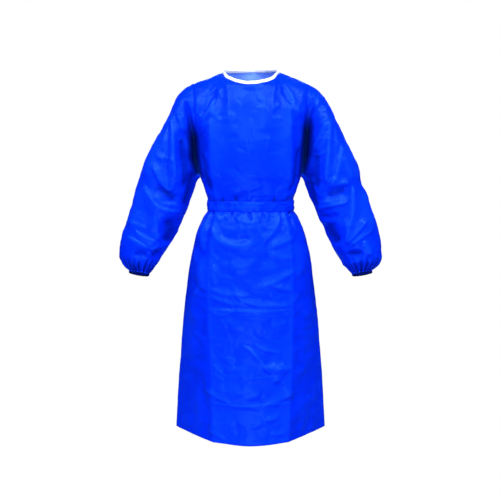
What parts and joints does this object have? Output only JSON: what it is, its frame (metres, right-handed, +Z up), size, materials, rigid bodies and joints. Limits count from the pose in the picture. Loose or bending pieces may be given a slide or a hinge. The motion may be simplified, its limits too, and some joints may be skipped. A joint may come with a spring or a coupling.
{
  "type": "disposable long-sleeved gown",
  "caption": "Long-sleeved disposable protective gown, hollow and filled out as worn, with gathered cuffs, a bound round neck and a belt tied behind.",
  "frame": {"origin": "middle of the neck opening, level with the shoulder seams at the neck, where the wearer's shoulders hold the gown up", "axes": "+Z up, towards the wearer's head; -Y out of the gown's front; +X towards the wearer's left sleeve"},
  "size_m": [0.882, 0.4075, 1.2275],
  "materials": {
    "cloth": "royal blue spunbonded nonwoven with a soft sheen",
    "binding": "white nonwoven tape, matt"
  },
  "bodies": {
    "root": {"front": "cloth", "back_left": "cloth", "back_right": "cloth", "sleeve_left": "cloth", "sleeve_right": "cloth", "cuff_left": "cloth", "cuff_right": "cloth", "belt": "cloth", "belt_knot": "cloth", "belt_tail_left": "cloth", "belt_tail_right": "cloth", "neck_binding": "binding", "neck_knot": "binding", "neck_tail_left": "binding", "neck_tail_right": "binding"}
  },
  "joints": []
}
